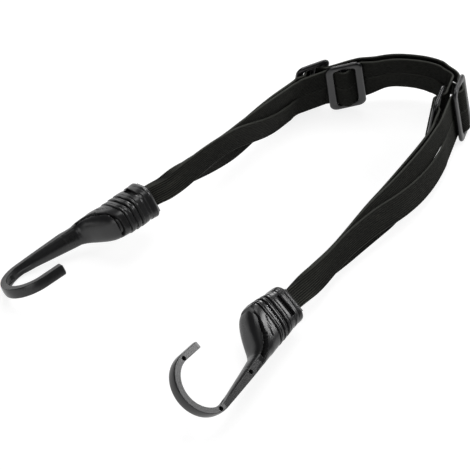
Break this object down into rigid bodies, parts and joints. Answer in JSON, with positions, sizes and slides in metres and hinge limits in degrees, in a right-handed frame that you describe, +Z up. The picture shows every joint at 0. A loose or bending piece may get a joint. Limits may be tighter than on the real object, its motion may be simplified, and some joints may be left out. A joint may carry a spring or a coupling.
{
  "type": "bungee strap",
  "caption": "Flat elastic webbing strap, doubled and joined by tri-glide sliders, with a moulded guard hook at each end.",
  "frame": {"origin": "middle of the bounding box, on the floor that the sliders and hooks stand on", "axes": "+Z up; the strap is a bent U on its side, with its crown towards +Y, one hook towards -X and the other towards -Y"},
  "size_m": [0.2634, 0.2654, 0.0396],
  "materials": {
    "webbing": "ribbed black elastic webbing, dull",
    "slider_plastic": "moulded dark grey, satin on the edges",
    "hook_plastic": "moulded black, satin",
    "plug_plastic": "moulded black",
    "crimp_steel": "rolled bright steel"
  },
  "bodies": {
    "strap": {"band_inner_upper": "webbing", "band_inner_lower": "webbing", "band_outer_upper": "webbing", "band_outer_lower": "webbing"},
    "hook_a": {"hook_a": "hook_plastic", "hook_a_anchor": "plug_plastic", "hook_a_crimp": "crimp_steel"},
    "hook_b": {"hook_b": "hook_plastic", "hook_b_anchor": "plug_plastic", "hook_b_crimp": "crimp_steel"},
    "slider_outer_left": {"slider_outer_left": "slider_plastic"},
    "slider_inner_left": {"slider_inner_left": "slider_plastic"},
    "slider_inner_right": {"slider_inner_right": "slider_plastic"},
    "slider_outer_right": {"slider_outer_right": "slider_plastic"}
  },
  "joints": [
    {"name": "hook_a_pull", "type": "slide", "parent": "strap", "child": "hook_a", "axis": [-0.7997, -0.6004, 0], "range_m": [0, 0.1], "stiffness_N_per_m": 300, "deforming": ["band_inner_upper", "band_inner_lower", "band_outer_upper", "band_outer_lower"]},
    {"name": "hook_b_pull", "type": "slide", "parent": "strap", "child": "hook_b", "axis": [-0.5721, -0.8202, 0], "range_m": [0, 0.1], "stiffness_N_per_m": 300, "deforming": ["band_inner_upper", "band_inner_lower", "band_outer_upper", "band_outer_lower"]},
    {"name": "slider_outer_left_slide", "type": "hinge", "parent": "strap", "child": "slider_outer_left", "pos_m": [0.06481, 0.07095, 0], "axis": [0, 0, 1], "range_deg": [0, 20], "deforming": ["band_inner_upper", "band_inner_lower", "band_outer_upper", "band_outer_lower"]},
    {"name": "slider_inner_left_slide", "type": "hinge", "parent": "strap", "child": "slider_inner_left", "pos_m": [0.09432, -0.04089, 0], "axis": [0, 0, -1], "range_deg": [0, 8], "deforming": ["band_inner_upper", "band_inner_lower", "band_outer_upper", "band_outer_lower"]},
    {"name": "slider_inner_right_slide", "type": "hinge", "parent": "strap", "child": "slider_inner_right", "pos_m": [-0.05191, 0.13371, 0], "axis": [0, 0, -1], "range_deg": [0, 14], "deforming": ["band_inner_upper", "band_inner_lower", "band_outer_upper", "band_outer_lower"]},
    {"name": "slider_outer_right_slide", "type": "hinge", "parent": "strap", "child": "slider_outer_right", "pos_m": [-0.05191, 0.13371, 0], "axis": [0, 0, -1], "range_deg": [0, 14], "deforming": ["band_inner_upper", "band_inner_lower", "band_outer_upper", "band_outer_lower"]}
  ]
}
